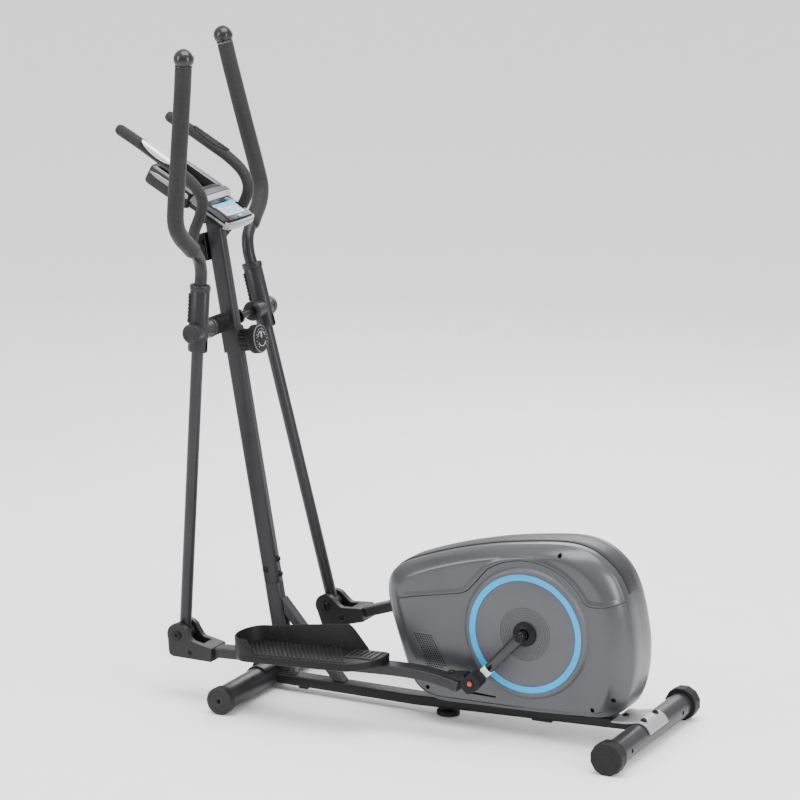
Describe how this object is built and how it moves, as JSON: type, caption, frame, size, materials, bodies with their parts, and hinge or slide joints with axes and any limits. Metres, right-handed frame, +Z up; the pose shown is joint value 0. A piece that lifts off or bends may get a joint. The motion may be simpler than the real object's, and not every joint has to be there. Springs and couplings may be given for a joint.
{
  "type": "elliptical trainer",
  "caption": "Upright elliptical trainer with a rear drive housing, swinging arms linked to foot pedals, a console, a tension knob and a fixed handlebar.",
  "frame": {"origin": "centre of the bounding box on the floor", "axes": "+Z up; +X to the rear, where the drive housing is; -X to the console; -Y to the left of the person on it"},
  "size_m": [1.3573, 0.6032, 1.5722],
  "materials": {
    "satin_steel": "satin charcoal powder coat",
    "black_steel": "black paint",
    "bright_steel": "bright zinc",
    "grey_shell": "metallic grey with a soft gloss",
    "dark_plastic": "moulded, fine grain",
    "black_plastic": "moulded black",
    "foam": "closed-cell foam sleeve",
    "rubber": "black rubber",
    "silver_plastic": "silver paint",
    "cyan_plastic": "smooth key cap",
    "cast_iron": "machined rim, cast web"
  },
  "bodies": {
    "frame": {"base_rail": "black_steel", "mast_post": "satin_steel", "mast_gusset": "satin_steel", "mast": "satin_steel", "mast_shroud": "dark_plastic", "pivot_shaft": "black_steel", "front_stabilizer": "satin_steel", "front_saddle": "satin_steel", "rear_stabilizer": "satin_steel", "rear_saddle": "bright_steel", "housing_left": "grey_shell", "housing_right": "grey_shell", "housing_spine": "grey_shell", "side_disc_left": "grey_shell", "side_disc_right": "grey_shell", "bearing_frame": "black_steel", "flywheel_axle": "bright_steel", "drive_belt": "rubber", "tension_cable": "rubber", "console_body": "silver_plastic", "console_bracket": "black_steel", "tablet_tray": "dark_plastic", "fixed_handlebar": "foam", "handlebar_clamp": "black_plastic", "pulse_sensor_left": "bright_steel", "pulse_sensor_right": "bright_steel"},
    "left_arm": {"arm_sleeve_left": "satin_steel", "lower_tube_left": "satin_steel", "pivot_cap_left": "dark_plastic", "handle_tube_left": "satin_steel", "foam_grip_left": "foam", "ball_cap_left": "dark_plastic"},
    "left_pedal": {"pedal_bracket_left": "dark_plastic", "pedal_arm_left": "satin_steel", "pedal_left": "black_plastic", "joint_block_left": "black_plastic"},
    "right_arm": {"arm_sleeve_right": "satin_steel", "lower_tube_right": "satin_steel", "pivot_cap_right": "dark_plastic", "handle_tube_right": "satin_steel", "foam_grip_right": "foam", "ball_cap_right": "dark_plastic"},
    "right_pedal": {"pedal_bracket_right": "dark_plastic", "pedal_arm_right": "satin_steel", "pedal_right": "black_plastic", "joint_block_right": "black_plastic"},
    "crank_set": {"crank_axle": "bright_steel", "crank_left": "black_steel", "crank_right": "black_steel", "drive_pulley": "black_plastic"},
    "flywheel_set": {"flywheel": "cast_iron"},
    "idler_roller": {"idler": "black_plastic"},
    "brake": {"magnet_brake": "black_steel"},
    "resistance_knob": {"tension_knob": "black_plastic"},
    "front_left_wheel": {"front_wheel_left": "dark_plastic"},
    "front_right_wheel": {"front_wheel_right": "dark_plastic"},
    "rear_left_cap": {"rear_leveling_cap_left": "rubber"},
    "rear_right_cap": {"rear_leveling_cap_right": "rubber"},
    "levelling_foot": {"middle_foot": "rubber"},
    "console_key": {"mode_button": "cyan_plastic"}
  },
  "joints": [
    {"name": "crank_spin", "type": "hinge", "parent": "frame", "child": "crank_set", "pos_m": [0.3762, 0, 0.256], "axis": [0, 1, 0], "continuous": true},
    {"name": "flywheel_spin", "type": "hinge", "parent": "frame", "child": "flywheel_set", "pos_m": [0.1812, 0, 0.205], "axis": [0, 1, 0], "continuous": true},
    {"name": "idler_spin", "type": "hinge", "parent": "frame", "child": "idler_roller", "pos_m": [0.23518, 0.04, 0.153], "axis": [0, 1, 0], "continuous": true},
    {"name": "left_arm_swing", "type": "hinge", "parent": "frame", "child": "left_arm", "pos_m": [-0.4398, -0.1535, 0.894], "axis": [0, -1, 0], "range_deg": [-2.4, 20.9]},
    {"name": "right_arm_swing", "type": "hinge", "parent": "frame", "child": "right_arm", "pos_m": [-0.4398, 0.1535, 0.894], "axis": [0, -1, 0], "range_deg": [-20.9, 2.4]},
    {"name": "left_pedal_level", "type": "hinge", "parent": "left_arm", "child": "left_pedal", "pos_m": [-0.48691, -0.1535, 0.15751], "axis": [0, -1, 0], "range_deg": [-20.9, 2.4]},
    {"name": "right_pedal_level", "type": "hinge", "parent": "right_arm", "child": "right_pedal", "pos_m": [-0.25082, 0.1535, 0.18061], "axis": [0, -1, 0], "range_deg": [-2.4, 20.9]},
    {"name": "tension_knob_turn", "type": "hinge", "parent": "frame", "child": "resistance_knob", "pos_m": [-0.43083, 0, 0.84278], "axis": [0.985, 0, 0.1724], "range_deg": [0, 315]},
    {"name": "brake_magnet_tilt", "type": "hinge", "parent": "frame", "child": "brake", "pos_m": [0.1442, 0, 0.334], "axis": [0, 1, 0], "range_deg": [-2.3, 0]},
    {"name": "front_left_wheel_roll", "type": "hinge", "parent": "frame", "child": "front_left_wheel", "pos_m": [-0.3413, -0.241, 0.0333], "axis": [0, 1, 0], "continuous": true},
    {"name": "front_right_wheel_roll", "type": "hinge", "parent": "frame", "child": "front_right_wheel", "pos_m": [-0.3413, 0.241, 0.0333], "axis": [0, 1, 0], "continuous": true},
    {"name": "rear_left_cap_turn", "type": "hinge", "parent": "frame", "child": "rear_left_cap", "pos_m": [0.6402, -0.2185, 0.0375], "axis": [0, 1, 0], "range_deg": [0, 180]},
    {"name": "rear_right_cap_turn", "type": "hinge", "parent": "frame", "child": "rear_right_cap", "pos_m": [0.6402, 0.2185, 0.0375], "axis": [0, 1, 0], "range_deg": [0, 180]},
    {"name": "middle_foot_turn", "type": "hinge", "parent": "frame", "child": "levelling_foot", "pos_m": [0.1362, 0, 0.006], "axis": [0, 0, 1], "range_deg": [0, 340]},
    {"name": "mode_button_press", "type": "slide", "parent": "frame", "child": "console_key", "axis": [-0.4772, 0, -0.8788], "range_m": [0, 0.0015], "stiffness_N_per_m": 300, "springref_m": -0.0008}
  ],
  "couplings": [
    {"joint": "flywheel_spin", "follows": "crank_spin", "ratio": 6.6667},
    {"joint": "idler_spin", "follows": "crank_spin", "ratio": -8.5714},
    {"joint": "right_arm_swing", "follows": "left_arm_swing", "ratio": -1},
    {"joint": "left_pedal_level", "follows": "left_arm_swing", "ratio": -1},
    {"joint": "right_pedal_level", "follows": "left_arm_swing", "ratio": 1},
    {"joint": "brake_magnet_tilt", "follows": "tension_knob_turn", "ratio": -0.007}
  ]
}
